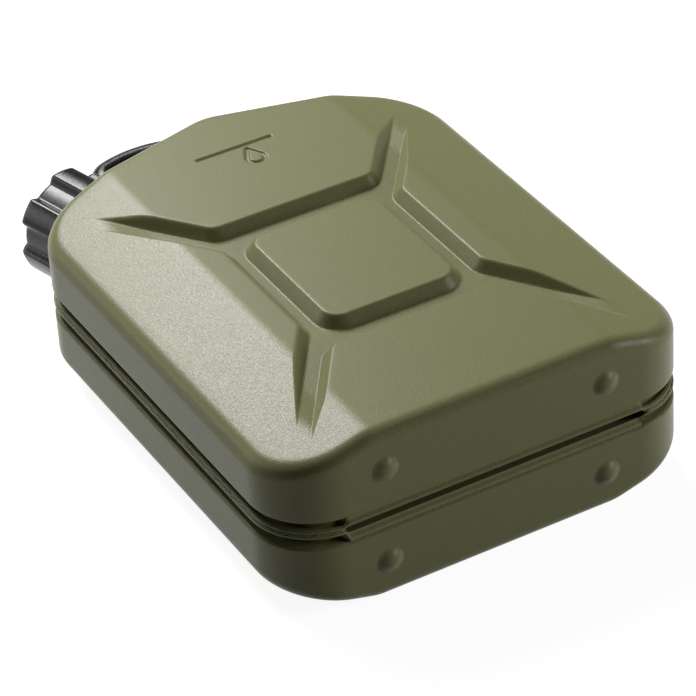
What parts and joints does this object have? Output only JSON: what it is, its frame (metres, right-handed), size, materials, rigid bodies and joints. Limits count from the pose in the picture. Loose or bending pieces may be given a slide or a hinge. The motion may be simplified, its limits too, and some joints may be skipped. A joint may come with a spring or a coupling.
{
  "type": "fuel canister",
  "caption": "Small flat stamped steel fuel canister with an X-shaped channel, recessed seam, tilted neck with a lobed screw cap, and a bow handle.",
  "frame": {"origin": "under the middle of the bounding box, on the surface that the canister lies on with its back face", "axes": "+Z out of the front face, +Y from the base wall towards the cap and the handle, +X to the right seen from the front"},
  "size_m": [0.1696, 0.2606, 0.0714],
  "materials": {
    "olive_paint": "satin, fine grain",
    "black_plastic": "gloss",
    "bare_steel": "plain",
    "rubber": "matte"
  },
  "bodies": {
    "tank": {"front_shell": "olive_paint", "back_shell": "olive_paint", "filler_neck": "olive_paint", "neck_collar": "olive_paint", "handle": "black_plastic", "handle_bracket_left": "olive_paint", "handle_bracket_right": "olive_paint", "handle_pin_left": "bare_steel", "handle_pin_right": "bare_steel"},
    "seal": {"cap_gasket": "rubber"},
    "cap": {"cap": "black_plastic"}
  },
  "joints": [
    {"name": "cap_rise", "type": "slide", "parent": "tank", "child": "seal", "axis": [-0.2588, 0.9659, 0], "range_m": [0, 0.016]},
    {"name": "cap_turn", "type": "hinge", "parent": "seal", "child": "cap", "pos_m": [-0.04848, 0.07598, 0.0357], "axis": [-0.2588, 0.9659, 0], "range_deg": [0, 1440]}
  ],
  "couplings": [
    {"joint": "cap_rise", "follows": "cap_turn", "m_per_rad": 0.00063662}
  ]
}
